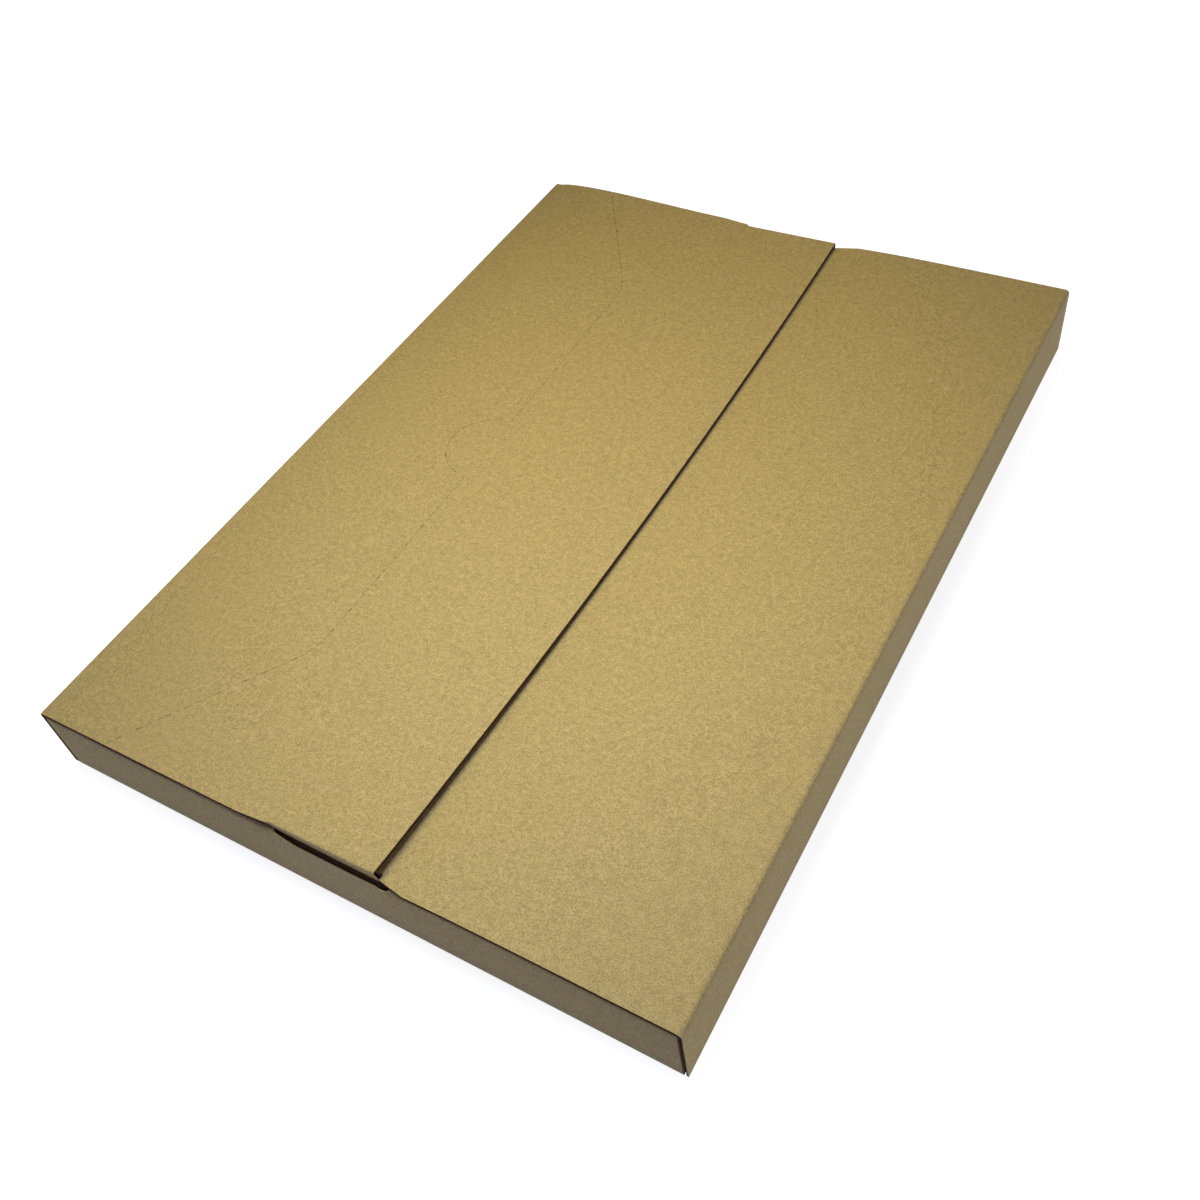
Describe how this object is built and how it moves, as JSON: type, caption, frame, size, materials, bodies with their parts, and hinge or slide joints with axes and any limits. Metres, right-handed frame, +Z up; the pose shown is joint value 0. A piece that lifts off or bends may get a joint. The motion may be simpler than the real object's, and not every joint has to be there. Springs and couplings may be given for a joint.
{
  "type": "corrugated mailing box",
  "caption": "Shallow folded mailing box of corrugated kraft board, closed by a wide hinged top flap with tucked-in ears and a perforated tear line.",
  "frame": {"origin": "centre of the base, on the surface the box lies on", "axes": "+X from the closing flap's hinge fold to the right wall, +Y from front to back along the seam, +Z up"},
  "size_m": [0.2236, 0.313, 0.0306],
  "materials": {
    "kraft_board": "matt kraft paper over fine-flute corrugated board"
  },
  "bodies": {
    "box_body": {"box_body": "kraft_board"},
    "closing_flap": {"closing_flap": "kraft_board"}
  },
  "joints": [
    {"name": "closing_flap_hinge", "type": "hinge", "parent": "box_body", "child": "closing_flap", "pos_m": [-0.11133, 0, 0.02763], "axis": [0, -1, 0], "range_deg": [0, 180]}
  ]
}
